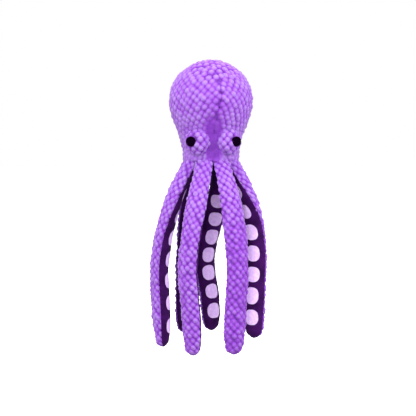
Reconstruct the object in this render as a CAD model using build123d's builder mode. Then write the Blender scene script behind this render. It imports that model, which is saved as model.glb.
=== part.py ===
"""Plush octopus toy: a sewn, stuffed head and eight arms that hang from its neck.

Frame, in millimetres: +Z up, the origin on top of the crown, the face towards -Y, and +X to the right
of somebody who looks at the face. Left and right in the names are that viewer's. Azimuths are in
degrees about the head's axis, from the face, positive towards +X.
"""

import os
from math import cos, radians, sin, sqrt

from build123d import *

os.makedirs("parts", exist_ok=True)

# Head: its outline as (radius, height), from below the crown to above the neck
HEAD_OUTLINE = [
    (20.4, -4.8),
    (37.0, -17.8),
    (44.4, -32.0),
    (46.3, -47.0),
    (39.8, -70.4),
    (33.4, -85.0),
    (30.4, -98.0),
]
HEAD_WIDEST = -47.0
NECK_RADIUS = 30.0
NECK_HEIGHT = -108.0

# Cloth
PLUSH = 3.0
LINING = 1.2
SEAM_GAP = 0.1
FILLING_GAP = 0.15

# Eye mounds, which are padded discs on the front of the face, and the eyes on them
MOUND_AZIMUTH = 35.4
MOUND_FACING = 26.0
MOUND_FROM_AXIS = 28.3
MOUND_HEIGHT = -90.0
MOUND_RADIUS = 13.5
MOUND_FRONT = 13.5
MOUND_DOME = 8.0
MOUND_FOOT = 12.0
EYE_RADIUS = 5.4
EYE_PROUD = 1.3
EYE_BACK = 3.0
EYE_ROUND = 1.0
EYE_ASIDE = 3.0
EYE_FACING = 31.0

# Squeaker in the middle of the head
SQUEAKER_HEIGHT = -48.0
SQUEAKER_RADIUS = 18.0
SQUEAKER_HALF_DEPTH = 12.0
SQUEAKER_WALL = 1.2
REED_RADIUS = 5.0
REED_DEPTH = 4.0
REED_GAP = 0.05
REED_ROUND = 0.8

# Arms: eight roots in a ring under the neck. Each arm bends at its root and half way down.
ROOT_RADIUS = 27.0
ROOT_HEIGHT = -120.0
ROOT_SPLAY = 32.0
SHOULDER_RADIUS = 43.0
SHOULDER_HEIGHT = -155.0
SHOULDER_DRIFT = 0.3
MIDDLE_HEIGHT = -222.0
ROOT_HALF_WIDTH = 10.2
ARM_HALF_WIDTH = 12.9
TIP_HALF_WIDTH = 5.6
ROOT_TAPER = 50.0
TIP_TAPER = 46.0
TWIST_LENGTH = 90.0
OUTER_DEPTH = 0.80
INNER_DEPTH = 0.72
ROOT_DOME = 8.0
UPPER_STATIONS = (0, 0.1, 0.22, 0.36, 0.52, 0.68, 0.84, 1)
LOWER_STATIONS = (0, 0.18, 0.36, 0.54, 0.7, 0.82, 0.91, 0.97, 1)
KNUCKLE = 14.0
KNUCKLE_GAP = 0.6

# Each arm: the azimuth of its root, (azimuth, radius) where it bends, the azimuth that its plush side
# faces there, and (azimuth, radius, height) of its tip
ARMS = {
    "front_left": (-22.5, (-31, 54), -52, (-27, 50, -319)),
    "front_right": (22.5, (26, 54), 16, (23, 52, -318)),
    "side_left": (-67.5, (-86, 55), -105, (-87, 53, -316)),
    "side_right": (67.5, (75, 50), 150, (74, 48, -306)),
    "back_left": (-112.5, (-116.5, 61), -114, (-116.5, 60, -308)),
    "back_right": (112.5, (116, 57), 112, (115, 57, -303)),
    "rear_left": (-157.5, (-149.5, 47), -168, (-149, 48, -308)),
    "rear_right": (157.5, (181, 58), 202, (174, 58, -308)),
}


def outward(azimuth):
    """The level direction away from the head's axis at an azimuth."""
    return Vector(sin(radians(azimuth)), -cos(radians(azimuth)), 0)


def place(azimuth, radius, height):
    return outward(azimuth) * radius + Vector(0, 0, height)


def ease(share):
    """A smooth step from 0 to 1."""
    share = min(max(share, 0), 1)
    return share * share * (3 - 2 * share)


def save(piece, name):
    piece.part.label = name
    export_step(piece.part, f"parts/{name}.step")


# ---------------------------------------------------------------- head


def inset_point(radius, height, inset):
    """A point of the head's outline moved in by inset, square to the outline."""
    above = max(height - HEAD_WIDEST, 0)
    reach = sqrt(radius**2 + above**2)
    return (radius - inset * radius / reach, height - inset * above / reach)


def head_outline(inset, floor=NECK_HEIGHT):
    """The curve from the crown to the neck, moved in by inset, for the BuildLine that calls this."""
    outline = [inset_point(radius, height, inset) for radius, height in HEAD_OUTLINE]
    points = [(0, -inset), *outline, (NECK_RADIUS - inset, floor)]
    return Spline(points, tangents=[(1, 0), (0, -1)])


def head_solid(inset, floor=NECK_HEIGHT):
    """The room inside the head's outline moved in by inset, down to a level floor."""
    with BuildPart() as solid:
        with BuildSketch(Plane.XZ):
            with BuildLine():
                side = head_outline(inset, floor)
                Polyline(side @ 1, (0, floor), side @ 0)
            make_face()
        revolve(axis=Axis.Z)
    return solid.part


def padded_disc(centre, facing, radius, front):
    """A round post with a domed front, whose foot reaches back into the head."""
    crown = front - MOUND_DOME * radius / MOUND_RADIUS
    with BuildPart() as solid:
        with BuildSketch(Plane(origin=centre, x_dir=facing.cross(Vector(0, 0, 1)), z_dir=(0, 0, -1))):
            with BuildLine():
                EllipticalCenterArc((0, crown), radius, front - crown, arc_size=90)
                Polyline((0, front), (0, -MOUND_FOOT), (radius, -MOUND_FOOT), (radius, crown))
            make_face()
        revolve(axis=Axis(centre, facing))
    return solid.part


def squeaker_side(inset, mouth=0):
    """Half the outline of the squeaker's flattened round bulb, moved in by inset, for a BuildLine."""
    flat = SQUEAKER_RADIUS - SQUEAKER_HALF_DEPTH
    top = SQUEAKER_HEIGHT + SQUEAKER_HALF_DEPTH - inset
    bottom = SQUEAKER_HEIGHT - SQUEAKER_HALF_DEPTH + inset
    Line((0, top), (flat, top))
    ThreePointArc((flat, top), (SQUEAKER_RADIUS - inset, SQUEAKER_HEIGHT), (flat, bottom))
    Line((flat, bottom), (mouth, bottom))
    return top, bottom


def squeaker_solid(inset):
    """The room inside the squeaker's bulb moved in by inset."""
    with BuildPart() as solid:
        with BuildSketch(Plane.XZ):
            with BuildLine():
                top, bottom = squeaker_side(inset)
                Line((0, bottom), (0, top))
            make_face()
        revolve(axis=Axis.Z)
    return solid.part


def build_head():
    for name, side in {"left": -1, "right": 1}.items():
        with BuildPart() as panel:
            with BuildSketch(Plane(origin=(0, 0, 0), x_dir=(0, -side, 0), z_dir=(-side, 0, 0))):
                with BuildLine():
                    outer = head_outline(0)
                    inner = head_outline(PLUSH)
                    Line(outer @ 0, inner @ 0)
                    Line(outer @ 1, inner @ 1)
                make_face()
            revolve(axis=Axis.Z, revolution_arc=180)
        save(panel, f"head_panel_{name}")

    with BuildPart() as base_panel:
        with BuildSketch(Plane.XY.offset(NECK_HEIGHT)):
            Circle(NECK_RADIUS - PLUSH - FILLING_GAP)
        extrude(amount=LINING)
    save(base_panel, "neck_base_panel")

    with BuildPart() as filling:
        add(head_solid(PLUSH + FILLING_GAP, NECK_HEIGHT + LINING + FILLING_GAP))
        add(squeaker_solid(-FILLING_GAP), mode=Mode.SUBTRACT)
    save(filling, "head_filling")


def build_squeaker():
    """A hollow bulb with a round mouth below, and the reed disc that fills the mouth."""
    with BuildPart() as bulb:
        with BuildSketch(Plane.XZ):
            with BuildLine():
                top, bottom = squeaker_side(0, REED_RADIUS)
                inner_top, inner_bottom = squeaker_side(SQUEAKER_WALL, REED_RADIUS)
                Line((0, top), (0, inner_top))
                Line((REED_RADIUS, bottom), (REED_RADIUS, inner_bottom))
            make_face()
        revolve(axis=Axis.Z)
    save(bulb, "squeaker_bulb")

    with BuildPart() as reed:
        with BuildSketch(Plane.XY.offset(SQUEAKER_HEIGHT - SQUEAKER_HALF_DEPTH)):
            Circle(REED_RADIUS - REED_GAP)
        extrude(amount=REED_DEPTH)
        fillet(reed.edges().group_by(Axis.Z)[0], REED_ROUND)
    save(reed, "squeaker_reed")


def build_eye(name, side):
    """One padded mound on the face, its filling, and the eye on the outer half of its front."""
    facing = outward(side * MOUND_FACING)
    centre = place(side * MOUND_AZIMUTH, MOUND_FROM_AXIS, MOUND_HEIGHT)
    head = head_solid(-FILLING_GAP)
    skin = padded_disc(centre, facing, MOUND_RADIUS, MOUND_FRONT)

    with BuildPart() as mound:
        add(skin)
        add(padded_disc(centre, facing, MOUND_RADIUS - PLUSH, MOUND_FRONT - PLUSH), mode=Mode.SUBTRACT)
        add(head, mode=Mode.SUBTRACT)
    save(mound, f"eye_mound_{name}")

    inset = PLUSH + FILLING_GAP
    with BuildPart() as filling:
        add(padded_disc(centre, facing, MOUND_RADIUS - inset, MOUND_FRONT - inset))
        add(head, mode=Mode.SUBTRACT)
    save(filling, f"eye_mound_{name}_filling")

    outer_side = outward(side * (MOUND_FACING + 90))
    lower = MOUND_DOME * (1 - sqrt(1 - (EYE_ASIDE / MOUND_RADIUS) ** 2))
    middle = centre + facing * (MOUND_FRONT - lower) + outer_side * EYE_ASIDE
    eye_facing = outward(side * EYE_FACING)
    with BuildPart() as eye:
        with BuildSketch(Plane(origin=middle - eye_facing * EYE_BACK, z_dir=eye_facing)):
            Circle(EYE_RADIUS)
        extrude(amount=EYE_BACK + EYE_PROUD)
        fillet(eye.faces().sort_by(Axis(middle, eye_facing))[-1].edges(), EYE_ROUND)
        add(skin, mode=Mode.SUBTRACT)
    save(eye, f"eye_{name}")


# ---------------------------------------------------------------- arms


def arm_route(root_azimuth, bend, tip):
    """The middle line of an arm, from its root pivot to its tip."""
    bend_azimuth, bend_radius = bend
    shoulder_azimuth = root_azimuth + SHOULDER_DRIFT * (bend_azimuth - root_azimuth)
    splay = radians(ROOT_SPLAY)
    start = outward(root_azimuth) * sin(splay) - Vector(0, 0, cos(splay))
    points = [
        place(root_azimuth, ROOT_RADIUS, ROOT_HEIGHT),
        place(shoulder_azimuth, SHOULDER_RADIUS, SHOULDER_HEIGHT),
        place(bend_azimuth, bend_radius, MIDDLE_HEIGHT),
        place(*tip),
    ]
    with BuildLine() as route:
        Spline(points, tangents=[start, (0, 0, -1)])
    return route.edge()


def bend_distance(route):
    """How far below its root, along its own middle line, an arm bends."""
    return route.length / 2


def half_width(along, length):
    """Half an arm's width at a distance below its root."""
    wide = ROOT_HALF_WIDTH + (ARM_HALF_WIDTH - ROOT_HALF_WIDTH) * ease(along / ROOT_TAPER)
    into_tip = min(max(1 - (length - along) / TIP_TAPER, 0), 1)
    return TIP_HALF_WIDTH + (wide - TIP_HALF_WIDTH) * sqrt(1 - into_tip**3)


def station(route, along, azimuths):
    """The plane across an arm: x along its width, y the way that its plush faces, z down the arm."""
    root_azimuth, facing_azimuth = azimuths
    down = route.tangent_at(max(along, 0), position_mode=PositionMode.LENGTH)
    middle = route.position_at(max(along, 0), position_mode=PositionMode.LENGTH) + down * min(along, 0)
    azimuth = root_azimuth + (facing_azimuth - root_azimuth) * ease(along / TWIST_LENGTH)
    return Plane(origin=middle, x_dir=outward(azimuth).cross(down), z_dir=down)


def layer_arcs(layer, wide):
    """A layer's section: (half width, depth) of its two arcs, and the level of their ends."""
    outer = wide * OUTER_DEPTH
    inner = wide * INNER_DEPTH
    inset = PLUSH + FILLING_GAP
    if layer == "plush":
        return (wide, outer), (wide - PLUSH, outer - PLUSH), SEAM_GAP / 2
    if layer == "lining":
        return (wide, -inner), (wide - PLUSH, LINING - inner), -SEAM_GAP / 2
    return (wide - inset, outer - inset), (wide - inset, LINING + FILLING_GAP - inner), 0


def loft_layer(layer, stations):
    """One layer of a link: a ruled loft through its section at each station, a plane and a half width."""
    with BuildPart() as solid:
        for plane, wide in stations:
            (wide_1, deep_1), (wide_2, deep_2), level = layer_arcs(layer, wide)
            with BuildSketch(plane):
                with BuildLine():
                    ThreePointArc((-wide_1, level), (0, deep_1), (wide_1, level))
                    if layer != "filling":
                        Line((wide_1, level), (wide_2, level))
                        Line((-wide_2, level), (-wide_1, level))
                    ThreePointArc((wide_2, level), (0, deep_2), (-wide_2, level))
                make_face()
        loft(ruled=True)
    return solid


def dome_stations(reach):
    """Heights above a pivot, and the share of the width left there, for a rounded top end."""
    return [(-reach * sqrt(1 - share**2), share) for share in (0.5, 0.75, 0.93)]


def build_arm(name, root_azimuth, bend, facing_azimuth, tip):
    route = arm_route(root_azimuth, bend, tip)
    length = route.length
    pivot = bend_distance(route)
    upper_end = pivot - KNUCKLE - KNUCKLE_GAP
    upper = [upper_end * share for share in UPPER_STATIONS]
    lower = [pivot + (length - pivot) * share for share in LOWER_STATIONS]
    ends = {"upper": (upper, 0, ROOT_DOME), "lower": (lower, pivot, KNUCKLE - 0.3)}
    azimuths = (root_azimuth, facing_azimuth)
    for link, (distances, top, reach) in ends.items():
        stations = []
        for above, share in dome_stations(reach):
            wide = max(half_width(top, length) * share, TIP_HALF_WIDTH)
            stations.append((station(route, top + above, azimuths), wide))
        for along in distances:
            stations.append((station(route, along, azimuths), half_width(along, length)))
        for layer in ("plush", "lining", "filling"):
            save(loft_layer(layer, stations), f"arm_{name}_{link}_{layer}")


def build_all():
    build_head()
    build_squeaker()
    build_eye("left", -1)
    build_eye("right", 1)
    for name, (root_azimuth, bend, facing_azimuth, tip) in ARMS.items():
        build_arm(name, root_azimuth, bend, facing_azimuth, tip)


build_all()
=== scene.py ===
"""Blender scene of a plush octopus toy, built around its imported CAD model.

The soft pieces are made here from rows of bubbles laid over the toy's own curves, in millimetres,
and turned into metres when their meshes are made. Azimuths are in degrees about the head's axis,
from the face, positive towards +X. Side 1 is the toy's side towards +X, and -1 the other.
"""

from math import cos, pi, radians, sin, sqrt, tan

import bmesh
import bpy
import numpy as np
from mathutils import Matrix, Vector, kdtree


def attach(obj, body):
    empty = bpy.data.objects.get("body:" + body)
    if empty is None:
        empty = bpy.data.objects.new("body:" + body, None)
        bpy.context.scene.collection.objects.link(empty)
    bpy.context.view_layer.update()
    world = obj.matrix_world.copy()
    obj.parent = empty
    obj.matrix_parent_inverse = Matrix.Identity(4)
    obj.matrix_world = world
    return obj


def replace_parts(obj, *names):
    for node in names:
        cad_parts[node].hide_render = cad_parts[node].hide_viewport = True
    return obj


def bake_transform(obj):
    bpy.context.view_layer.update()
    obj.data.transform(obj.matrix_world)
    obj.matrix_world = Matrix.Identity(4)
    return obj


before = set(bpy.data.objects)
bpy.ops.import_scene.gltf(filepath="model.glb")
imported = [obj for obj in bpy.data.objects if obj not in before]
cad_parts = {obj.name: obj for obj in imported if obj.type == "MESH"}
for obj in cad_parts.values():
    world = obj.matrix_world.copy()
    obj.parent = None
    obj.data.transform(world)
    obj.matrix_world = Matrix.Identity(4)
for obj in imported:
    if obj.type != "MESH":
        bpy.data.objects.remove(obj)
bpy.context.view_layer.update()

MM = 0.001
UP = np.array([0, 0, 1.0])
random = np.random.default_rng(8)

# Head: its outline as (radius, height), as in the CAD
HEAD_OUTLINE = [
    (0.0, 0.0),
    (20.4, -4.8),
    (37.0, -17.8),
    (44.4, -32.0),
    (46.3, -47.0),
    (39.8, -70.4),
    (33.4, -85.0),
    (30.4, -98.0),
    (30.0, -108.0),
]
WIDEST_RADIUS, WIDEST_HEIGHT = HEAD_OUTLINE[4]
NECK_TUCK = (5.0, 6.0)  # inwards, downwards
HEAD_ROWS = 190
HEAD_COLUMNS = 190
HEAD_INNER_STEP = 10
HEAD_FOOT = -2.8
HEAD_LUMPS = 0.35
NECK_TOP = -58.0
NECK_FULLER = 1.1
FADE_DOWN = 30.0

# The seam between the head's two panels: its azimuth at some heights, and where it shows most
SEAM_AZIMUTHS = [
    (0.0, 6.5),
    (-20.0, 8.0),
    (-44.0, 9.5),
    (-62.0, 5.0),
    (-78.0, 1.0),
    (-115.0, 0.0),
]
SEAM_WIDTH = 1.5
SEAM_DEPTH = 0.3
SEAM_SHOWN_HEIGHT = -36.0
SEAM_SHOWN_REACH = 9.0
FAINT_SEAM = 0.2
BACK_SEAM = 0.5

# The plain strip between the mounds, and the painted shade over the middle of the face above it
STRIP_TOP = -52.0
STRIP_FOOT = -114.0
STRIP_HALF_WIDTH = 13.0
STRIP_FLARE = 6.0
STRIP_SINK = 0.6
STRIP_LUMPS = 0.25
FACE_SHADE = 0.28
FACE_SHADE_AZIMUTH = 2.0
FACE_SHADE_HEIGHT = -56.0
FACE_SHADE_REACH = 34.0

# Bubbles of the plush
BUBBLE_SIZES = (0.72, 1.12)
BUBBLE_ROUNDNESS = 0.8
NEAREST = 5
RIDGE_STRETCH = 1.1
RIDGE_SQUEEZE = 0.97

# Bubbles of the head: slanting rows, gathered where the head narrows, moved apart and filled in
HEAD_BUBBLE_RADIUS = 4.25
HEAD_BUBBLE_HEIGHT = 2.9
HEAD_RIDGE = (0.58, 0.81)  # around, down
HEAD_TURNS = {-1: 13.0, 1: 5.0}
HEAD_STEP = 8.2
HEAD_ROW = 4.65
HEAD_STAGGER = 0.55
HEAD_START = 70.0
HEAD_REACH = 60
GATHERED = 0.6
EASED = 0.35
CLOSEST = 4.8
SETTLED = 5.7
SETTLE_PACE = 0.22
SETTLE_ROUNDS = (15, 12)
SETTLE_MARGIN = 2.2
ROW_MARGIN = 1.5
FILL_MARGIN = 1.8
FILL_TRIES = 90
ROOM = 4.9
JITTER = 0.7

# Eye mounds and eyes, as in the CAD
MOUND_AZIMUTH = 35.4
MOUND_FACING = 26.0
MOUND_FROM_AXIS = 28.3
MOUND_HEIGHT = -90.0
MOUND_RADIUS = 13.5
MOUND_FRONT = 13.5
MOUND_DOME = 8.0
EYE_RADIUS = 5.4
EYE_PROUD = 1.3
EYE_ASIDE = 3.0
EYE_FACING = 31.0

# What only the skins of the mounds and eyes have
MOUND_BACK = -7.0
MOUND_SINK = 4.5
MOUND_FOOT = -2.0
MOUND_LUMPS = 0.3
MOUND_STEP = 8.4
MOUND_ROW = 5.2
MOUND_RISE = 2.0
MOUND_JITTER = 0.8
MOUND_REACH = 12
MOUND_BUBBLE_RADIUS = 4.2
MOUND_BUBBLE_HEIGHT = 3.4
EYE_CLEARANCE = 0.6
EYE_DEPTH = 3.5
EYE_RIM = 0.2
THREAD_DEPTH = 0.09
THREAD_STEP = 0.75

# The cloth that closes the head below
NECK_BASE_RADIUS = 26.2
NECK_BASE_HEIGHT = -112.0
NECK_BASE_SAG = 2.5
NECK_BASE_LUMPS = 0.4
NO_SUCKER = 99.0

# Arms, as in the CAD
ROOT_RADIUS = 27.0
ROOT_HEIGHT = -120.0
ROOT_SPLAY = 32.0
SHOULDER_RADIUS = 43.0
SHOULDER_HEIGHT = -155.0
SHOULDER_DRIFT = 0.3
MIDDLE_HEIGHT = -222.0
ROOT_HALF_WIDTH = 10.2
ARM_HALF_WIDTH = 12.9
TIP_HALF_WIDTH = 5.6
ROOT_TAPER = 50.0
TIP_TAPER = 46.0
TWIST_LENGTH = 90.0
PLUSH_DEPTH = 0.80
LINING_DEPTH = 0.72
PLUSH_THICK = 3.0
LINING_THICK = 1.2
ARMS = {  # root azimuth, (azimuth, radius) at the bend, facing azimuth, tip, step between suckers
    "front_left": (-22.5, (-31, 54), -52, (-27, 50, -319), 23.0),
    "front_right": (22.5, (26, 54), 16, (23, 52, -318), 23.0),
    "side_left": (-67.5, (-86, 55), -105, (-87, 53, -316), 25.0),
    "side_right": (67.5, (75, 50), 150, (74, 48, -306), 23.6),
    "back_left": (-112.5, (-116.5, 61), -114, (-116.5, 60, -308), 23.0),
    "back_right": (112.5, (116, 57), 112, (115, 57, -303), 23.0),
    "rear_left": (-157.5, (-149.5, 47), -168, (-149, 48, -308), 23.0),
    "rear_right": (157.5, (181, 58), 202, (174, 58, -308), 22.2),
}

# What only the skins of the arms have
ARM_TOP = -13.0
ARM_CUT = 52.0
END_ROUND = 7.0
ENDING = 6.0
INNER_END = 3.0
LIFT_REACH = (11.0, 34.0)  # how far before and after its joint
CURL_REACH = (25.0, 25.0)
PLUSH_GRID = (0.78, 64)  # step along, columns across
LINING_GRID = (1.0, 44)
PLUSH_INNER = ((6, 7), PLUSH_THICK, 0.6)  # grid steps, thickness, most of the half width
LINING_INNER = ((6, 5), LINING_THICK + 0.4, 0.4)
PLUSH_EDGE = (0.9, 0.8)  # depth, reach
LINING_EDGE = (0.8, 1.2)
LINING_SINK = 0.9
ARM_LUMPS = 0.3
PUCKER_DEPTH = 0.28
PUCKER_STEP = 5.3
PUCKER_REACH = 3.5
ARM_FOOT = -1.7
ARM_ROW = 4.25
ARM_STEP = 7.7
ARM_ACROSS = 4
ARM_JITTER = 0.95
ARM_BUBBLE_RADIUS = 3.62
ARM_BUBBLE_HEIGHT = 2.55
ARM_RIDGE = (0.66, 0.75, 0)
# How much darker some arms get down their length
DARKER_DOWN = {"front_right": 0.3, "front_left": 0.08}
DARKER_FROM = 35.0
DARKER_FADE = 50.0
SUCKERS = 7
SUCKER_RADIUS = 8.6
SUCKER_WIDTHS = (0.93, 1.03)
SUCKER_LENGTHS = (0.93, 1.09)
LAST_SUCKER = 24.0
SQUARENESS = 2.5

# Colours
# The pile goes from painted shade in the pits, through its own purple on the bubbles' sides, to a
# painted sheen on their tops
PAINTED_PIT_SHADE = (0.10, 0.0005, 0.26)
SIDE_COLOUR = (0.19, 0.014, 0.42)
PAINTED_TOP_SHEEN = (0.30, 0.155, 0.51)
PATCH_COLOUR = (0.19, 0.035, 0.40)
NAP_COLOUR = (0.36, 0.24, 0.58)
PLUSH_SHEEN = (1.0, 0.96, 1.0, 1)
LINING_COLOURS = ((0.020, 0.0015, 0.040), (0.042, 0.004, 0.082))
LINING_SHEEN = (0.75, 0.55, 1.0, 1)
SUCKER_COLOURS = ((0.66, 0.42, 0.86), (0.78, 0.56, 0.94))
EYE_COLOURS = ((0.001, 0.0003, 0.002), (0.006, 0.001, 0.010))
BULB_COLOURS = ((0.8, 0.8, 0.78), (0.87, 0.87, 0.85))
REED_COLOURS = ((0.7, 0.71, 0.73), (0.78, 0.79, 0.81))
FLOOR_COLOUR = (0.98, 0.98, 0.98, 1)
WHITE = (1, 1, 1, 1)

# Floor, light and camera, in metres and degrees
FLOOR_HEIGHT = -0.36
FLOOR_RADIUS = 14
FLOOR_GLOW = 0.7
AMBIENT = 0.72
CAMERA_AZIMUTH = -5.0
CAMERA_ELEVATION = 3.0
CAMERA_DISTANCE = 1.3
CAMERA_FIELD = 20.0
SENSOR_WIDTH = 36
AIM = (-3.2, -163.0)  # aside and height, in millimetres
SOFTBOXES = {  # azimuth, elevation, distance, size, power in watts
    "right_softbox": (68, 26, 1.3, 0.7, 14),
    "left_softbox": (-62, 32, 1.3, 0.7, 10),
    "top_softbox": (-20, 70, 1.2, 0.6, 7),
    "back_softbox": (178, 32, 1.3, 0.8, 9),
    "front_softbox": (-5, 14, 1.4, 0.8, 14),
}


# ---------------------------------------------------------------- curves and meshes


def outward(azimuth):
    """The level directions away from the head's axis at azimuths in degrees."""
    angle = np.radians(np.asarray(azimuth, float))
    return np.stack([np.sin(angle), -np.cos(angle), np.zeros_like(angle)], -1)


def ease(share):
    """0 to 1 as share goes from 0 to 1, with a smooth start and end."""
    share = np.clip(share, 0, 1)
    return share * share * (3 - 2 * share)


def hill(distance, width):
    """1 at 0, falling smoothly to 0 at plus or minus width."""
    return ease(1 - np.abs(distance) / width)


def near(distance, reach):
    """1 at 0, fading away over a reach."""
    return np.exp(-((distance / reach) ** 2))


def lumps(points, size, seed):
    """Smooth, repeatable unevenness from -1 to 1, with features of about a size."""
    waves = np.random.default_rng(seed)
    total = np.zeros(points.shape[:-1])
    for _ in range(6):
        way = waves.normal(size=3)
        way *= 2 * pi / (size * waves.uniform(0.8, 1.6)) / np.linalg.norm(way)
        total += np.sin(points @ way + waves.uniform(0, 2 * pi))
    return total / 3.5


def smooth_curve(points, first, last, per_span=60):
    """Points close together on the smooth curve through some points.

    It leaves along the direction first and ends along last.
    """
    points = np.array(points, float)
    steps = np.linalg.norm(np.diff(points, axis=0), axis=1)
    slope_1, slope_2 = (np.diff(points, axis=0) / steps[:, None])[:2]
    bend = (slope_2 - slope_1) / (steps[0] + steps[1])
    ends = []
    for way, place in ((first, 0), (last, steps.sum())):
        pace = np.abs(slope_1 + (2 * place - steps[0]) * bend).sum()
        ends.append(np.array(way, float) * pace / np.abs(way).sum())
    count = len(points)
    matrix = np.eye(count)
    right = np.zeros_like(points)
    right[0], right[-1] = ends
    for i in range(1, count - 1):
        h, k = steps[i - 1], steps[i]
        matrix[i, i - 1 : i + 2] = 1 / h, 2 / h + 2 / k, 1 / k
        right[i] = 3 * ((points[i] - points[i - 1]) / h**2 + (points[i + 1] - points[i]) / k**2)
    slopes = np.linalg.solve(matrix, right)
    out = [points[:1]]
    t = (np.arange(per_span)[:, None] + 1) / per_span
    for i in range(count - 1):
        h = steps[i]
        out.append(
            (2 * t**3 - 3 * t**2 + 1) * points[i]
            + (t**3 - 2 * t**2 + t) * h * slopes[i]
            + (3 * t**2 - 2 * t**3) * points[i + 1]
            + (t**3 - t**2) * h * slopes[i + 1]
        )
    return np.concatenate(out)


def along_of(curve):
    """The distance along a curve of each of its points."""
    return np.concatenate([[0], np.linalg.norm(np.diff(curve, axis=0), axis=1).cumsum()])


def at(curve, distances, where):
    """Each coordinate of a curve at some distances along it."""
    return np.stack([np.interp(where, distances, curve[:, i]) for i in range(curve.shape[1])], -1)


def normals(outline, distances):
    """The directions out of an outline of (radius, height) that is drawn downwards."""
    slope = np.gradient(outline, distances, axis=0)
    normal = np.stack([-slope[:, 1], slope[:, 0]], -1)
    return normal / np.linalg.norm(normal, axis=1)[:, None]


def grid(first, second):
    """Two ranges of (start, end, count) as a grid, the first one down its rows."""
    return np.meshgrid(np.linspace(*first), np.linspace(*second), indexing="ij")


def quads(rows, columns, first, flip):
    """The faces of a grid of points."""
    start = first + np.arange(rows - 1)[:, None] * columns + np.arange(columns - 1)[None]
    faces = np.stack([start, start + 1, start + columns + 1, start + columns], -1).reshape(-1, 4)
    return (faces[:, ::-1] if flip else faces).tolist()


def bridge(a, b):
    """Triangles between two rows of points that run side by side."""
    faces, i, j = [], 0, 0
    last_a, last_b = len(a) - 1, len(b) - 1
    while i < last_a or j < last_b:
        if j == last_b or (i < last_a and (i + 1) * last_b <= (j + 1) * last_a):
            faces.append((a[i], a[i + 1], b[j]))
            i += 1
        else:
            faces.append((a[i], b[j + 1], b[j]))
            j += 1
    return faces


def rim(points, first):
    """The four edges of a grid of points, as rows of indices."""
    index = first + np.arange(points.shape[0] * points.shape[1]).reshape(points.shape[:2])
    return [index[0], index[-1], index[:, 0], index[:, -1]]


def build(name, points, faces, creased, material, values=None):
    """A mesh piece from points in millimetres. Points in the same place are joined."""
    _, keep, place = np.unique(
        np.round(points, 4), axis=0, return_index=True, return_inverse=True
    )
    place = place.reshape(-1)
    clean = []
    for face in faces:
        face = [int(place[i]) for i in face]
        face = [i for n, i in enumerate(face) if i != face[n - 1]]
        if len(set(face)) > 2:
            clean.append(face)
    mesh = bpy.data.meshes.new(name)
    mesh.from_pydata((points[keep] * MM).tolist(), [], clean)
    if values is not None:
        attribute = mesh.attributes.new("detail", "FLOAT", "POINT")
        attribute.data.foreach_set("value", np.ascontiguousarray(values[keep], np.float32))
    tidy = bmesh.new()
    tidy.from_mesh(mesh)
    bmesh.ops.recalc_face_normals(tidy, faces=tidy.faces)
    tidy.to_mesh(mesh)
    tidy.free()
    mesh.shade_smooth()
    edge = np.zeros(len(mesh.edges) * 2, int)
    mesh.edges.foreach_get("vertices", edge)
    sharp = creased[keep][edge.reshape(-1, 2)].all(axis=1)
    mesh.attributes.new("sharp_edge", "BOOLEAN", "EDGE").data.foreach_set("value", sharp)
    piece = bpy.data.objects.new(name, mesh)
    bpy.context.scene.collection.objects.link(piece)
    mesh.materials.append(material)
    return piece


def shell(name, outer, inner, material, values=None):
    """A piece of cloth with a thickness, from a fine grid outside and a coarse one inside."""
    points = np.concatenate([outer.reshape(-1, 3), inner.reshape(-1, 3)])
    middle = outer.shape[0] * outer.shape[1]
    faces = quads(*outer.shape[:2], 0, False) + quads(*inner.shape[:2], middle, True)
    creased = np.zeros(len(points), bool)
    for a, b in zip(rim(outer, 0), rim(inner, middle)):
        faces += bridge(a, b)
        creased[a] = True
        creased[b] = True
    if values is not None:
        values = np.concatenate([values.reshape(-1), np.zeros(len(points) - middle)])
    return build(name, points, faces, creased, material, values)


def bubble_sizes(centres):
    """How big each bubble is beside the others."""
    return random.uniform(*BUBBLE_SIZES, len(centres))


def bubbles(centres, sizes, points, ridges, radius):
    """The share of its height that the nearest bubble has at each point.

    Bubbles run together along the ridges, which are directions of length 1.
    """
    centres = np.array(centres)
    tree = kdtree.KDTree(len(centres))
    for number, centre in enumerate(centres):
        tree.insert(centre, number)
    tree.balance()
    flat = points.reshape(-1, 3)
    which = np.array([[number for _, number, _ in tree.find_n(point, NEAREST)] for point in flat])
    apart = flat[:, None] - centres[which]
    along = (apart * np.broadcast_to(ridges, points.shape).reshape(-1, 1, 3)).sum(2)
    aside = (apart**2).sum(2) - along**2
    gap = np.sqrt((along / RIDGE_STRETCH) ** 2 + aside / RIDGE_SQUEEZE**2)
    share = np.clip(1 - (gap / radius) ** 2, 0, 1) ** BUBBLE_ROUNDNESS
    return (share * sizes[which]).max(1).reshape(points.shape[:-1])


# ---------------------------------------------------------------- materials


def new_material(name):
    """A material with an empty surface, its node tree and its shader."""
    material = bpy.data.materials.new(name)
    material.use_nodes = True
    tree = material.node_tree
    tree.nodes.clear()
    out = tree.nodes.new("ShaderNodeOutputMaterial")
    shader = tree.nodes.new("ShaderNodeBsdfPrincipled")
    tree.links.new(shader.outputs["BSDF"], out.inputs["Surface"])
    return material, tree, shader


def feed(tree, made, inputs):
    """Links a node's inputs to outputs of others, or sets them to values."""
    for name, value in inputs.items():
        if hasattr(value, "is_linked"):
            tree.links.new(value, made.inputs[name])
        else:
            made.inputs[name].default_value = value


def node(tree, kind, inputs=None, **settings):
    made = tree.nodes.new(kind)
    for name, value in settings.items():
        setattr(made, name, value)
    feed(tree, made, inputs or {})
    return made


def detail(tree):
    """What the piece's mesh says at each point: its relief, which picks painted shade and sheen,
    or how far a sucker is.
    """
    return node(tree, "ShaderNodeAttribute", attribute_name="detail").outputs["Fac"]


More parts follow.
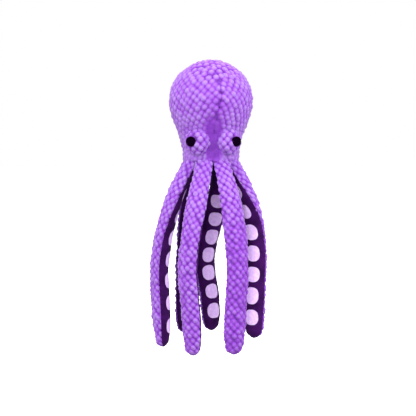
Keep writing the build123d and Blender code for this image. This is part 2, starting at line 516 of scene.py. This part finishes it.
def noise(tree, size, octaves=3.0, rough=0.55):
    """Noise with features of a size in millimetres."""
    place = node(tree, "ShaderNodeTexCoord").outputs["Object"]
    settings = {"Vector": place, "Scale": 1000 / size, "Detail": octaves, "Roughness": rough}
    return node(tree, "ShaderNodeTexNoise", settings).outputs["Fac"]


def blend_colours(tree, share, low, high):
    """A colour between two, each of them three numbers or a node's output."""
    low, high = ((*value, 1) if isinstance(value, tuple) else value for value in (low, high))
    return node(tree, "ShaderNodeMix", {0: share, 6: low, 7: high}, data_type="RGBA").outputs[2]


def ranged(tree, value, low, high, to_low=0.0, to_high=1.0):
    """A value brought smoothly from one range to another, and kept inside it."""
    settings = {"Value": value, "From Min": low, "From Max": high}
    settings.update({"To Min": to_low, "To Max": to_high})
    made = node(tree, "ShaderNodeMapRange", settings, interpolation_type="SMOOTHSTEP")
    return made.outputs["Result"]


def bumped(tree, shader, *layers):
    """Bumps on a shader, from (height, strength, distance in millimetres)."""
    normal = {}
    for height, strength, distance in layers:
        settings = {"Height": height, "Strength": strength, "Distance": distance * MM}
        made = node(tree, "ShaderNodeBump", {**settings, **normal})
        normal = {"Normal": made.outputs["Normal"]}
    feed(tree, shader, normal)


def plush_material():
    """Purple pile, with painted shade in the pits, a painted sheen on the bubbles, patches and a
    fine nap.
    """
    material, tree, shader = new_material("bubble_plush")
    relief = detail(tree)
    # Painted shade in the pits and a painted sheen on the bubble tops, picked by the relief
    colour = blend_colours(tree, ranged(tree, relief, 0.04, 0.5), PAINTED_PIT_SHADE, SIDE_COLOUR)
    colour = blend_colours(tree, ranged(tree, relief, 0.33, 0.95), colour, PAINTED_TOP_SHEEN)
    patch = ranged(tree, noise(tree, 9.0), 0.35, 0.7, 0.0, 0.35)
    colour = blend_colours(tree, patch, colour, PATCH_COLOUR)
    nap = noise(tree, 0.7, 4.0, 0.7)
    colour = blend_colours(tree, ranged(tree, nap, 0.3, 0.75, 0.0, 0.25), colour, NAP_COLOUR)
    feed(tree, shader, {"Base Color": colour, "Roughness": 0.7, "Specular IOR Level": 0.12})
    feed(tree, shader, {"Sheen Weight": 0.32, "Sheen Roughness": 0.35, "Sheen Tint": PLUSH_SHEEN})
    bumped(tree, shader, (nap, 0.5, 0.35), (noise(tree, 2.2), 0.35, 0.5))
    return material


def lining_material():
    """Dark smooth cloth, printed with pale suckers whose edges waver a little."""
    material, tree, shader = new_material("sucker_lining")
    wobble = {0: noise(tree, 5.0, 2.0), 1: 0.9, 2: -0.45}
    reach = node(tree, "ShaderNodeMath", wobble, operation="MULTIPLY_ADD").outputs[0]
    edge = node(tree, "ShaderNodeMath", {0: detail(tree), 1: reach}, operation="ADD").outputs[0]
    disc = ranged(tree, edge, SUCKER_RADIUS + 0.18, SUCKER_RADIUS - 0.18)
    dark = blend_colours(tree, ranged(tree, noise(tree, 14.0), 0.3, 0.7), *LINING_COLOURS)
    pale = blend_colours(tree, ranged(tree, noise(tree, 3.0), 0.3, 0.7), *SUCKER_COLOURS)
    colour = blend_colours(tree, disc, dark, pale)
    feed(tree, shader, {"Base Color": colour, "Roughness": 0.8, "Specular IOR Level": 0.06})
    feed(tree, shader, {"Sheen Weight": 0.03, "Sheen Roughness": 0.4, "Sheen Tint": LINING_SHEEN})
    bumped(tree, shader, (noise(tree, 0.5, 4.0, 0.7), 0.35, 0.2), (noise(tree, 4.0), 0.3, 0.6))
    return material


def eye_material():
    """Nearly black embroidery, with the lines of its threads."""
    material, tree, shader = new_material("eye_thread")
    place = node(tree, "ShaderNodeTexCoord").outputs["Object"]
    settings = {"Vector": place, "Scale": 1000 / 3.2, "Distortion": 0.6, "Detail": 2.0}
    thread = node(tree, "ShaderNodeTexWave", settings, bands_direction="Z").outputs["Fac"]
    colour = blend_colours(tree, thread, *EYE_COLOURS)
    feed(tree, shader, {"Base Color": colour, "Roughness": 0.75, "Specular IOR Level": 0.0})
    bumped(tree, shader, (thread, 0.6, 0.25), (noise(tree, 0.6), 0.3, 0.15))
    return material


def plastic_material(name, colours, size, rough, bump):
    """Plastic with grain of a size in millimetres."""
    material, tree, shader = new_material(name)
    grain = noise(tree, size)
    colour = blend_colours(tree, ranged(tree, grain, 0.3, 0.7), *colours)
    feed(tree, shader, {"Base Color": colour, "Roughness": rough})
    bumped(tree, shader, (grain, 0.3, bump))
    return material


plush = plush_material()
lining = lining_material()
eye_thread = eye_material()
soft_plastic = plastic_material("squeaker_plastic", BULB_COLOURS, 3.0, 0.42, 0.1)
hard_plastic = plastic_material("reed_plastic", REED_COLOURS, 1.5, 0.25, 0.05)


# ---------------------------------------------------------------- head


def head_outline():
    """The head's outline as close points, with the neck tucked in below."""
    turn = np.linspace(0, pi / 2, 30)[1:]
    tuck_in, tuck_down = NECK_TUCK
    radius, height = HEAD_OUTLINE[-1]
    tuck = [radius - tuck_in * (1 - np.cos(turn)), height - tuck_down * np.sin(turn)]
    return np.concatenate([smooth_curve(HEAD_OUTLINE, (1, 0), (0, -1)), np.stack(tuck, -1)])


head_curve = head_outline()
head_along = along_of(head_curve)
head_length = head_along[-1]
head_normal = normals(head_curve, head_along)


def seam_azimuth(height):
    """Where the seam between the head's two panels runs, which isn't quite straight."""
    heights, azimuths = zip(*SEAM_AZIMUTHS[::-1])
    return np.interp(height, heights, azimuths)


def on_head(along, turn, side, out=0.0):
    """Points on the head at a distance down from the crown and an angle from the front seam."""
    radius, height = np.moveaxis(at(head_curve, head_along, along), -1, 0)
    lean = at(head_normal, head_along, along)
    way = outward(seam_azimuth(height) + side * np.degrees(turn))
    level = way * (radius + out * lean[..., 0])[..., None]
    return level + (height + out * lean[..., 1])[..., None] * UP


def head_radius(along):
    """The head's radius at distances from the crown, but never next to nothing."""
    return np.maximum(np.interp(along, head_along, head_curve[:, 0]), 2)


def head_rows(side):
    """Staggered rows over one panel, as (distance from the crown, angle from the front seam)."""
    turned = radians(HEAD_TURNS[side])
    step = np.array([cos(turned), sin(turned)]) * HEAD_STEP
    row = np.array([-sin(turned), cos(turned)]) * HEAD_ROW + step * HEAD_STAGGER
    found = []
    for j in range(-HEAD_REACH, HEAD_REACH):
        for i in range(-HEAD_REACH, HEAD_REACH):
            across, down = i * step + j * row + (0.0, HEAD_START)
            if not 0 < down < head_length:
                continue
            radius, height = at(head_curve, head_along, down)
            narrower = GATHERED if height < WIDEST_HEIGHT else EASED
            girth = radius + narrower * (WIDEST_RADIUS - radius)
            if abs(across) < (pi / 2 - ROW_MARGIN / radius) * girth:
                found.append((down, pi / 2 + across / girth))
    return np.array(sorted(found, reverse=True)).T


def thin_out(along, turn, side):
    """Leaves out the bubbles that are too close to an earlier one."""
    places = on_head(along, turn, side)
    kept = []
    for number, place in enumerate(places):
        if all(np.linalg.norm(place - places[other]) > CLOSEST for other in kept):
            kept.append(number)
    return along[kept], turn[kept]


def settle(along, turn, side, rounds):
    """Moves bubbles that are too close together apart, over the head."""
    for _ in range(rounds):
        here = on_head(along, turn, side)
        radius = head_radius(along)
        around = side * outward(seam_azimuth(here[:, 2]) + side * np.degrees(turn) + 90)
        below = on_head(np.minimum(along + 0.5, head_length), turn, side)
        below = below - on_head(along - 0.5, turn, side)
        below /= np.linalg.norm(below, axis=1)[:, None]
        apart = here[:, None] - here[None]
        gap = np.linalg.norm(apart, axis=2) + 1e-9
        share = np.clip(SETTLED - gap, 0, None) / gap * (gap > 1e-6) * SETTLE_PACE
        push = (apart * share[..., None]).sum(1)
        along = np.clip(along + (push * below).sum(1), 0.5, head_length)
        turn = turn + (push * around).sum(1) / radius
        turn = np.clip(turn, SETTLE_MARGIN / radius, pi - SETTLE_MARGIN / radius)
    return along, turn


def fill_in(along, turn, side):
    """Adds bubbles where there is room for them."""
    tries = grid((1, head_length, FILL_TRIES), (0, pi, FILL_TRIES))
    radius = np.interp(tries[0], head_along, head_curve[:, 0])
    inside = radius * np.minimum(tries[1], pi - tries[1]) > FILL_MARGIN
    tries = np.stack([tries[0][inside], tries[1][inside]])
    spots = on_head(*tries, side)
    gap = np.linalg.norm(spots[:, None] - on_head(along, turn, side)[None], axis=2).min(1)
    while gap.max() > ROOM:
        best = gap.argmax()
        along = np.append(along, tries[0, best])
        turn = np.append(turn, tries[1, best])
        gap = np.minimum(gap, np.linalg.norm(spots - spots[best], axis=1))
    return along, turn


def head_bubbles(side):
    """The middles of the bubbles on one panel."""
    along, turn = thin_out(*head_rows(side), side)
    along, turn = settle(along, turn, side, SETTLE_ROUNDS[0])
    along, turn = fill_in(along, turn, side)
    along, turn = settle(along, turn, side, SETTLE_ROUNDS[1])
    shift = random.uniform(-JITTER, JITTER, (2, len(along)))
    return on_head(along + shift[0], turn + shift[1] / head_radius(along), side)


head_centres = np.concatenate([head_bubbles(-1), head_bubbles(1)])
head_sizes = bubble_sizes(head_centres)


def head_skin(name, side):
    """One bubble-plush panel of the head.

    Both panels have the same relief at the seams, so they meet there.
    """
    along, turn = grid((0, head_length, HEAD_ROWS), (0, pi, HEAD_COLUMNS))
    base = on_head(along, turn, side)
    radius = np.hypot(base[..., 0], base[..., 1])
    azimuth = np.degrees(np.arctan2(base[..., 0], -base[..., 1]))
    height = base[..., 2]
    in_front = base[..., 1] < 0
    from_seam = radius * np.minimum(turn, pi - turn)

    low_down = ease((STRIP_TOP - height) / FADE_DOWN)
    strip = STRIP_HALF_WIDTH + STRIP_FLARE * low_down
    plain = ease((strip - np.abs(azimuth)) / 8) * ease((height - STRIP_FOOT) / 7) * low_down
    plain = plain * in_front
    shown = hill(height - SEAM_SHOWN_HEIGHT, SEAM_SHOWN_REACH)
    seam = 1 - ease(from_seam / SEAM_WIDTH)
    seam *= (1 - plain) * np.where(in_front, FAINT_SEAM + (1 - FAINT_SEAM) * shown, BACK_SEAM)

    down = np.gradient(base, axis=0)
    down /= np.maximum(np.linalg.norm(down, axis=2), 1e-9)[..., None]
    ridge = HEAD_RIDGE[0] * side * outward(azimuth + 90) + HEAD_RIDGE[1] * down
    ridge = ridge * ease(from_seam / 4)[..., None]
    relief = bubbles(head_centres, head_sizes, base, ridge, HEAD_BUBBLE_RADIUS)
    relief *= (1 - 0.2 * seam) * (1 - 0.88 * plain) * ease((head_length - along) / 8)
    out = HEAD_FOOT + NECK_FULLER * ease((NECK_TOP - height) / FADE_DOWN)
    out = out + HEAD_BUBBLE_HEIGHT * relief - SEAM_DEPTH * seam - STRIP_SINK * plain
    out = out + HEAD_LUMPS * lumps(base, 38, 3) + STRIP_LUMPS * plain * lumps(base, 7, 4)
    outer = on_head(along, turn, side, out)
    coarse = (slice(None, None, HEAD_INNER_STEP),) * 2
    inner = on_head(along[coarse], turn[coarse], side, -PLUSH_THICK)

    # Painted shade darkens the middle of the face, where less light falls
    face_shade = FACE_SHADE * hill(azimuth - FACE_SHADE_AZIMUTH, FACE_SHADE_REACH)
    face_shade = face_shade * hill(height - FACE_SHADE_HEIGHT, FACE_SHADE_REACH)
    # The shade picks painted pit shade and top sheen; painted shade also darkens the seam's
    # groove, and the plain strip is lifted a little out of the pit shade
    shade = np.clip(relief * (1 - 0.3 * seam) * (1 - face_shade) + 0.2 * plain, 0, 1)
    piece = shell(name, outer, inner, plush, shade)
    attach(piece, "head")
    return piece


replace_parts(head_skin("head_left_skin", -1), "head_panel_left", "head_filling")
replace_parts(head_skin("head_right_skin", 1), "head_panel_right")


def around(angle, level):
    """The directions at some angles from a level one, towards straight up."""
    return np.cos(angle)[..., None] * level + np.sin(angle)[..., None] * UP


def mound_outline():
    """A mound's outline as (radius, height over its middle), from its top to inside the head."""
    angle = np.linspace(0, pi / 2, 60)
    dome = [MOUND_RADIUS * np.sin(angle), MOUND_FRONT - MOUND_DOME * (1 - np.cos(angle))]
    wall = np.linspace(MOUND_FRONT - MOUND_DOME, MOUND_BACK, 25)[1:]
    wall = [np.full_like(wall, MOUND_RADIUS), wall]
    return np.concatenate([np.stack(dome, -1), np.stack(wall, -1)])


mound_curve = mound_outline()
mound_along = along_of(mound_curve)
mound_length = mound_along[-1]
mound_normal = normals(mound_curve, mound_along)


def mound_frame(side):
    """The middle of a mound, the way it faces, and the level way out over its side."""
    middle = outward(side * MOUND_AZIMUTH) * MOUND_FROM_AXIS + (0, 0, MOUND_HEIGHT)
    return middle, outward(side * MOUND_FACING), side * outward(side * MOUND_FACING + 90)


def on_mound(side, along, angle, out=0.0):
    """Points on a mound at distances from its top and angles around it. Its far side is lower."""
    middle, facing, level = mound_frame(side)
    radius, front = np.moveaxis(at(mound_curve, mound_along, along), -1, 0)
    outer_side = radius * (np.cos(angle) + 0.35 * np.abs(np.sin(angle)))
    front = front - MOUND_SINK * ease((outer_side - 4) / 10)
    normal = at(mound_normal, mound_along, along)
    radius = radius + out * normal[..., 0]
    front = front + out * normal[..., 1]
    return middle + around(angle, level) * radius[..., None] + front[..., None] * facing


def mound_bubbles(side):
    """The middles of the bubbles on a mound, in staggered rows that leave out the eye."""
    found = []
    for j in range(-MOUND_REACH, MOUND_REACH):
        for i in range(-MOUND_REACH, MOUND_REACH):
            across = i * MOUND_STEP + (j % 2) * MOUND_STEP / 2
            across = across + random.uniform(-MOUND_JITTER, MOUND_JITTER)
            up = j * MOUND_ROW + MOUND_RISE + random.uniform(-MOUND_JITTER, MOUND_JITTER)
            gap = sqrt(across**2 + up**2)
            from_eye = sqrt((across - EYE_ASIDE) ** 2 + up**2)
            if from_eye > EYE_RADIUS + EYE_CLEARANCE and gap < mound_length:
                found.append((gap, np.arctan2(up, across)))
    return on_mound(side, *np.array(found).T)


def build_mound(name, side):
    """One padded mound on the face, with a hollow for its eye."""
    centres = mound_bubbles(side)
    along, angle = grid((0, mound_length, 60), (0, 2 * pi, 161))
    base = on_mound(side, along, angle)
    from_eye = np.hypot(along * np.cos(angle) - EYE_ASIDE, along * np.sin(angle))
    relief = bubbles(centres, bubble_sizes(centres), base, UP, MOUND_BUBBLE_RADIUS)
    relief = relief * ease((from_eye - EYE_RADIUS + 0.9) / 1.6)
    relief *= ease((mound_length - along) / 6)
    out = MOUND_FOOT + MOUND_BUBBLE_HEIGHT * relief + MOUND_LUMPS * lumps(base, 16, 11)
    outer = on_mound(side, along, angle, out)
    inner = on_mound(side, along[::6, ::8], angle[::6, ::8], -PLUSH_THICK)
    # Its relief picks painted shade in the pits and a painted sheen on the bubbles
    mound = shell(f"{name}_mound_skin", outer, inner, plush, np.clip(relief, 0, 1))
    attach(mound, "head")
    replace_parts(mound, f"eye_mound_{name[4:]}", f"eye_mound_{name[4:]}_filling")


def build_eye(name, side):
    """One round, slightly padded eye, embroidered in lines."""
    share, angle = grid((0, 1, 40), (0, 2 * pi, 121))
    radius = EYE_RADIUS * np.sin(share * pi / 2) ** 0.8
    middle, facing, level = mound_frame(side)
    lower = MOUND_DOME * (1 - sqrt(1 - (EYE_ASIDE / MOUND_RADIUS) ** 2))
    seat = middle + (MOUND_FRONT - lower) * facing + EYE_ASIDE * level
    facing = outward(side * EYE_FACING)
    level = side * outward(side * EYE_FACING + 90)
    front = EYE_PROUD * EYE_RIM + EYE_PROUD * np.cos(share * pi / 2) ** 0.62
    wander = 0.6 * np.sin(radius * np.cos(angle))
    stitch = THREAD_DEPTH * np.sin(radius * np.sin(angle) * 2 * pi / THREAD_STEP + wander)
    front = front + stitch * np.clip(1.2 - share, 0, 1)
    level_part = around(angle, level) * radius[..., None]
    outer = seat + level_part + front[..., None] * facing
    inner = seat + level_part[::8, ::8] - EYE_DEPTH * facing
    eye = shell(f"{name}_thread", outer, inner, eye_thread)
    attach(eye, "head")
    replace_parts(eye, name)


for name, side in (("eye_left", -1), ("eye_right", 1)):
    build_mound(name, side)
    build_eye(name, side)


def neck_base():
    """The dark cloth that closes the head below, between the roots of the arms."""
    share, angle = grid((0, 1, 40), (0, 2 * pi, 97))
    radius = NECK_BASE_RADIUS * share
    flat = np.stack([radius * np.cos(angle), radius * np.sin(angle), np.zeros_like(radius)], -1)
    sag = NECK_BASE_HEIGHT - NECK_BASE_SAG * (1 - share**2) + NECK_BASE_LUMPS * lumps(flat, 14, 5)
    outer = flat + sag[..., None] * UP
    inner = outer[::6, ::6] + (0, 0, LINING_THICK)
    piece = shell("neck_base_skin", outer, inner, lining, np.full(share.shape, NO_SUCKER))
    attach(piece, "head")
    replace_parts(piece, "neck_base_panel")


neck_base()


# ---------------------------------------------------------------- arms


class Arm:
    """One arm: its middle line, its width, the way it turns, its bubbles and its suckers."""

    def __init__(self, name, root_azimuth, bend, facing_azimuth, tip, sucker_step):
        bend_azimuth, bend_radius = bend
        tip_azimuth, tip_radius, tip_height = tip
        shoulder_azimuth = root_azimuth + SHOULDER_DRIFT * (bend_azimuth - root_azimuth)
        splay = radians(ROOT_SPLAY)
        start = outward(root_azimuth) * sin(splay) - UP * cos(splay)
        points = [
            outward(root_azimuth) * ROOT_RADIUS + UP * ROOT_HEIGHT,
            outward(shoulder_azimuth) * SHOULDER_RADIUS + UP * SHOULDER_HEIGHT,
            outward(bend_azimuth) * bend_radius + UP * MIDDLE_HEIGHT,
            outward(tip_azimuth) * tip_radius + UP * tip_height,
        ]
        self.line = smooth_curve(points, start, (0, 0, -1))
        self.distances = along_of(self.line)
        self.length = self.distances[-1]
        self.ways = np.gradient(self.line, self.distances, axis=0)
        self.azimuths = (root_azimuth, facing_azimuth)
        self.number = list(ARMS).index(name)
        self.darkening = DARKER_DOWN.get(name, 0)
        self.centres = self.lay_bubbles()
        self.sizes = bubble_sizes(self.centres)
        self.suckers = []
        for i in range(SUCKERS):
            middle = self.length - LAST_SUCKER - i * sucker_step
            wide, long = random.uniform(*SUCKER_WIDTHS), random.uniform(*SUCKER_LENGTHS)
            self.suckers.append((middle, wide, long))

    def lay_bubbles(self):
        """The middles of the bubbles, in staggered rows, as (across, along, 0)."""
        centres = []
        phase = random.uniform(0, 1)
        for row in range(int((self.length - ARM_TOP) / ARM_ROW) + 2):
            for i in range(-ARM_ACROSS, ARM_ACROSS + 1):
                across = (i + 0.5 * (row % 2)) * ARM_STEP + random.uniform(-1, 1) * ARM_JITTER
                along = ARM_TOP + (row + phase) * ARM_ROW + random.uniform(-1, 1) * ARM_JITTER
                centres.append((across, along, 0.0))
        return centres

    def axes(self, along):
        """The middle, the way down, across, and out of the plush, at distances from the root."""
        below = np.maximum(along, 0)
        down = at(self.ways, self.distances, below)
        down /= np.linalg.norm(down, axis=-1)[..., None]
        middle = at(self.line, self.distances, below) + down * np.minimum(along, 0)[..., None]
        root, facing = self.azimuths
        azimuth = root + (facing - root) * ease(along / TWIST_LENGTH)
        across = np.cross(outward(azimuth), down)
        across /= np.linalg.norm(across, axis=-1)[..., None]
        return middle, down, across, np.cross(down, across)

    def half_width(self, along):
        wide = ROOT_HALF_WIDTH + (ARM_HALF_WIDTH - ROOT_HALF_WIDTH) * ease(along / ROOT_TAPER)
        into_tip = np.clip(1 - (self.length - along) / TIP_TAPER, 0, 1)
        wide = TIP_HALF_WIDTH + (wide - TIP_HALF_WIDTH) * np.sqrt(1 - into_tip**3)
        past = np.clip((along - self.length + END_ROUND) / END_ROUND, 0, 1)
        return wide * np.sqrt(1 - past**2)

    def arc(self, along, depth):
        """The radius of a side's arc, how far its middle is from the arm's, and its half angle."""
        wide = np.maximum(self.half_width(along), 1e-4)
        radius = wide * (1 + depth**2) / (2 * depth)
        back = wide * depth - radius
        return radius, back, np.arccos(np.clip(-back / radius, -1, 1))

    def on_side(self, along, share, depth, side, out=0.0):
        """Points on the plush side, 1, or the lining side, -1. Share is -1 and 1 at its edges."""
        middle, _, across, front = self.axes(along)
        radius, back, most = self.arc(along, depth)
        turn = share * most
        x = (radius + out) * np.sin(turn)
        y = back + (radius + out) * np.cos(turn)
        return middle + across * x[..., None] + front * (side * y)[..., None]

    def cloth(self, low, high, step, columns, depth, side):
        """A grid over one side, from low to high.

        It gives each point's distance along, share, distance across and from the edges, how far
        it is from the narrow end as 0 to 1, and its place on the smooth shape.
        """
        along, share = grid((low, high, int(round((high - low) / step)) + 1), (-1, 1, columns))
        radius, _, most = self.arc(along, depth)
        from_edge = radius * most * (1 - np.abs(share))
        ending = ease(self.half_width(along) / ENDING)
        base = self.on_side(along, share, depth, side)
        return along, share, radius * share * most, from_edge, ending, base

    def inner_face(self, along, share, depth, side, steps, thick, most):
        """The inner face of a side's cloth, as a coarser grid that stops short of the tip."""
        coarse = tuple(slice(None, None, step) for step in steps)
        along = np.minimum(along[coarse], self.length - INNER_END)
        out = -np.minimum(thick, self.half_width(along) * most)
        return self.on_side(along, share[coarse], depth, side, out)


def plush_side(arm, low, high):
    """The outer and inner faces of an arm's plush from low to high, and its shade."""
    side = (PLUSH_DEPTH, 1)
    along, share, across, from_edge, ending, base = arm.cloth(low, high, *PLUSH_GRID, *side)
    flat = np.stack([across, along, 0 * across], -1)
    relief = bubbles(arm.centres, arm.sizes, flat, ARM_RIDGE, ARM_BUBBLE_RADIUS)
    edge_depth, edge_reach = PLUSH_EDGE
    out = (ARM_FOOT + ARM_BUBBLE_HEIGHT * relief) * ending
    out = out - edge_depth * near(from_edge, edge_reach) * ending
    out = out + ARM_LUMPS * lumps(base, 30, arm.number) * ending
    outer = arm.on_side(along, share, *side, out)
    # The shade picks painted pit shade and top sheen; on some arms it gets darker down the arm
    darkening = arm.darkening * ease((along - DARKER_FROM) / DARKER_FADE)
    return outer, arm.inner_face(along, share, *side, *PLUSH_INNER), relief * (1 - darkening)


def lining_side(arm, low, high):
    """The outer and inner faces of an arm's lining, and how far the nearest sucker is.

    Distances to suckers are between those of circles and squares.
    """
    side = (LINING_DEPTH, -1)
    along, share, across, from_edge, ending, base = arm.cloth(low, high, *LINING_GRID, *side)
    gaps = []
    for middle, wide, long in arm.suckers:
        aside, beyond = np.abs(across / wide), np.abs((along - middle) / long)
        gaps.append((aside**SQUARENESS + beyond**SQUARENESS) ** (1 / SQUARENESS))
    edge_depth, edge_reach = LINING_EDGE
    pucker = PUCKER_DEPTH * np.sin(along * 2 * pi / PUCKER_STEP + 3 * share)
    out = pucker * near(from_edge, PUCKER_REACH) + ARM_LUMPS * lumps(base, 17, 20 + arm.number)
    out = (out - edge_depth * near(from_edge, edge_reach) - LINING_SINK) * ending
    outer = arm.on_side(along, share, *side, out)
    return outer, arm.inner_face(along, share, *side, *LINING_INNER), np.min(gaps, axis=0)


def declare(piece, nodes):
    """Hides the CAD nodes that a skin of an arm stands for, and bakes its placement into its mesh.
    """
    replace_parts(piece, *nodes)
    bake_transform(piece)


def build_arm(name, *facts):
    """The four skins of an arm: its plush and its lining, above and below its bend."""
    arm = Arm(name, *facts)
    upper, lower = f"arm_{name}_upper", f"arm_{name}_lower"
    links = (
        ("root", ARM_TOP, ARM_CUT, ("head", upper), "lift", 0.0, LIFT_REACH),
        ("tip", ARM_CUT, arm.length, (upper, lower), "curl", arm.length / 2, CURL_REACH),
    )
    for link, low, high, bodies, joint, pivot_along, reach in links:
        way = arm.axes(np.array(pivot_along))[1]
        body = bodies[1]

        outer, inner, shade = plush_side(arm, low, high)
        skin = shell(f"arm_{name}_{link}_plush", outer, inner, plush, shade)
        declare(skin, [f"{body}_plush", f"{body}_filling"])

        outer, inner, gap = lining_side(arm, low, high)
        skin = shell(f"arm_{name}_{link}_lining", outer, inner, lining, gap)
        declare(skin, [f"{body}_lining"])


for name, facts in ARMS.items():
    build_arm(name, *facts)

for name, material in {"squeaker_bulb": soft_plastic, "squeaker_reed": hard_plastic}.items():
    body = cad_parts[name].data
    body.materials.clear()
    body.materials.append(material)


# ---------------------------------------------------------------- floor, light and camera


def direction(azimuth, elevation):
    """The direction away from the toy at an azimuth and an elevation."""
    lift = radians(elevation)
    return Vector(outward(azimuth)) * cos(lift) + Vector((0, 0, sin(lift)))


bpy.ops.mesh.primitive_circle_add(
    vertices=96, radius=FLOOR_RADIUS, fill_type="NGON", location=(0, 0, FLOOR_HEIGHT)
)
floor = bpy.context.object
floor.name = "floor"
floor_material, floor_tree, floor_shader = new_material("pale_floor")
floor_surface = {"Base Color": FLOOR_COLOUR, "Roughness": 0.8, "Specular IOR Level": 0.1}
feed(floor_tree, floor_shader, floor_surface)
feed(floor_tree, floor_shader, {"Emission Color": WHITE, "Emission Strength": FLOOR_GLOW})
floor.data.materials.append(floor_material)
floor.visible_diffuse = False
floor.visible_glossy = False

# The background is white as seen, and gives a little less light than that
world = bpy.data.worlds.new("studio")
world.use_nodes = True
sky = world.node_tree
seen = node(sky, "ShaderNodeLightPath").outputs["Is Camera Ray"]
brightness = node(sky, "ShaderNodeMapRange", {"Value": seen, "To Min": AMBIENT, "To Max": 1.0})
feed(sky, sky.nodes["Background"], {"Color": WHITE, "Strength": brightness.outputs["Result"]})
bpy.context.scene.world = world
bpy.context.scene.view_settings.view_transform = "Standard"


def softbox(name, azimuth, elevation, distance, size, power):
    """A large square lamp that faces the middle of the toy."""
    lamp = bpy.data.lights.new(name, "AREA")
    lamp.shape = "SQUARE"
    lamp.size = size
    lamp.energy = power
    holder = bpy.data.objects.new(name, lamp)
    bpy.context.scene.collection.objects.link(holder)
    way = direction(azimuth, elevation)
    holder.location = way * distance + Vector((0, 0, AIM[1] * MM))
    holder.rotation_euler = way.to_track_quat("Z", "Y").to_euler()


for name, facts in SOFTBOXES.items():
    softbox(name, *facts)

camera_data = bpy.data.cameras.new("camera")
camera_data.sensor_width = SENSOR_WIDTH
camera_data.lens = SENSOR_WIDTH / 2 / tan(radians(CAMERA_FIELD / 2))
camera = bpy.data.objects.new("camera", camera_data)
bpy.context.scene.collection.objects.link(camera)
bpy.context.scene.camera = camera
back = direction(CAMERA_AZIMUTH, CAMERA_ELEVATION)
aside, aim_height = AIM
target = Vector(outward(CAMERA_AZIMUTH + 90)) * aside * MM + Vector((0, 0, aim_height * MM))
camera.location = target + back * CAMERA_DISTANCE
camera.rotation_mode = "QUATERNION"
camera.rotation_quaternion = (-back).to_track_quat("-Z", "Y")
